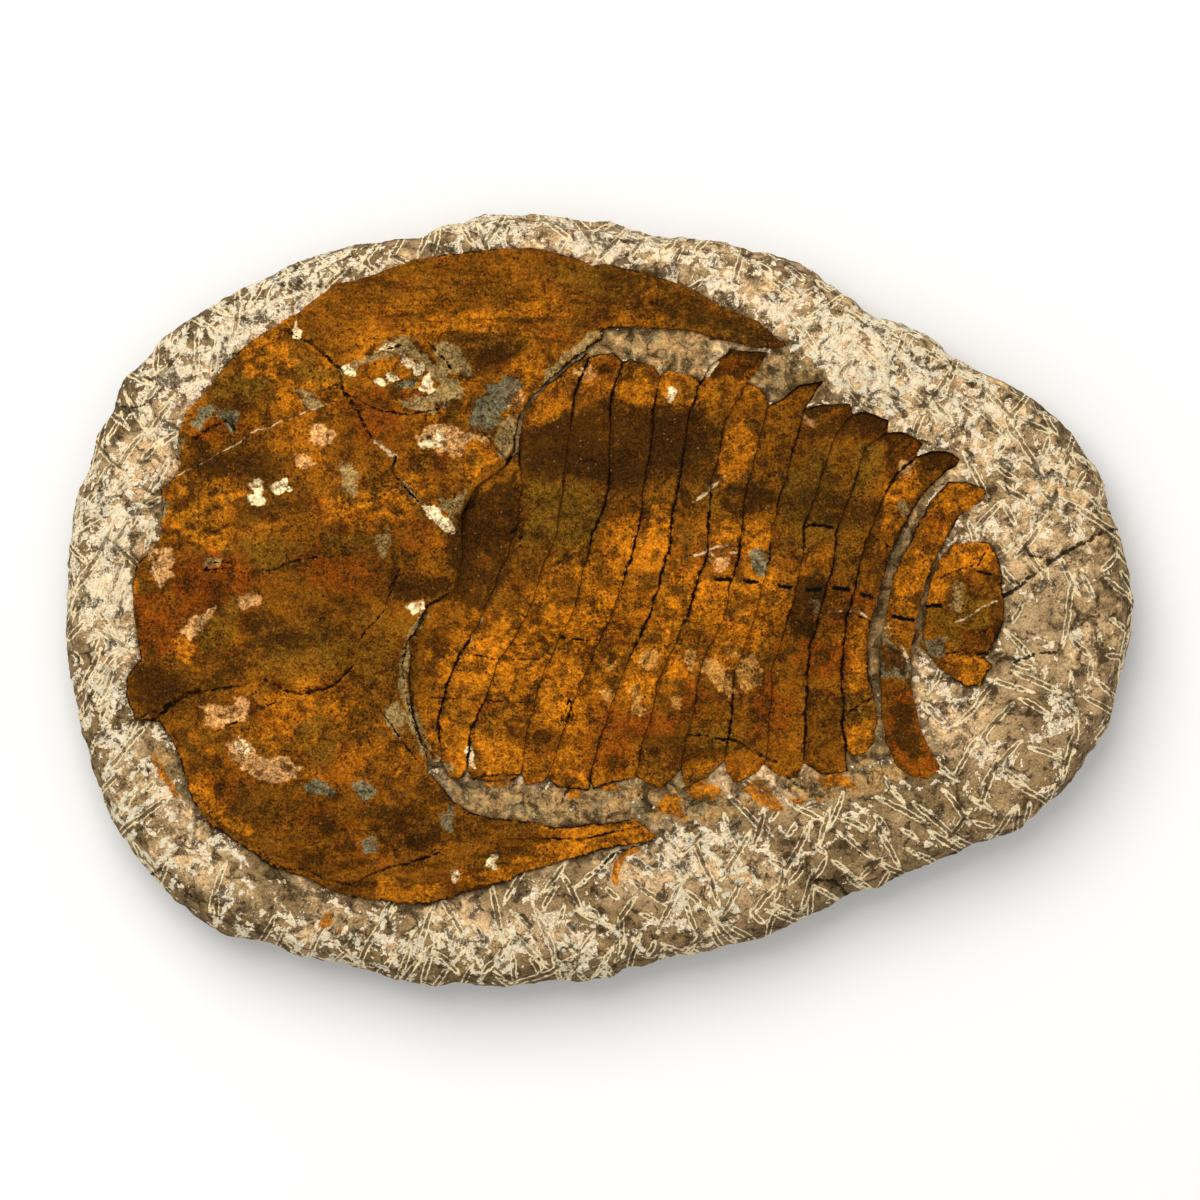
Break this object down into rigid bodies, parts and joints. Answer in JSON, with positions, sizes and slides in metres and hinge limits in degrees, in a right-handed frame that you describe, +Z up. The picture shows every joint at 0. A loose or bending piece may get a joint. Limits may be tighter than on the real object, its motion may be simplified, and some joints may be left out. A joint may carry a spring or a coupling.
{
  "type": "trilobite fossil in a stone plate",
  "caption": "Large jointed trilobite fossil, shell side up, with head shield, cheek spines, ribbed thorax and small tail shield, set in an oval plate of chisel-marked stone",
  "frame": {"origin": "middle of the bounding box's base, on the plate's flat underside", "axes": "+X from the head to the tail, +Y to the animal's right side, which is the upper side in the picture, and +Z up out of the fossil's face"},
  "size_m": [0.2995, 0.2173, 0.0394],
  "materials": {
    "stone": "matt fine-grained buff siltstone, bruised white where a chisel has struck it",
    "shell": "fossil shell turned to stone, orange to dark brown, smooth with a soft sheen"
  },
  "bodies": {
    "root": {"stone_matrix": "stone", "cranidium": "shell", "right_free_cheek": "shell", "left_free_cheek": "shell", "thorax_segment_01": "shell", "thorax_segment_02": "shell", "thorax_segment_03": "shell", "thorax_segment_04": "shell", "thorax_segment_05": "shell", "thorax_segment_06": "shell", "thorax_segment_07": "shell", "thorax_segment_08": "shell", "thorax_segment_09": "shell", "thorax_segment_10": "shell", "thorax_segment_11": "shell", "thorax_segment_12": "shell", "thorax_segment_13": "shell", "tail_shield": "shell"}
  },
  "joints": []
}
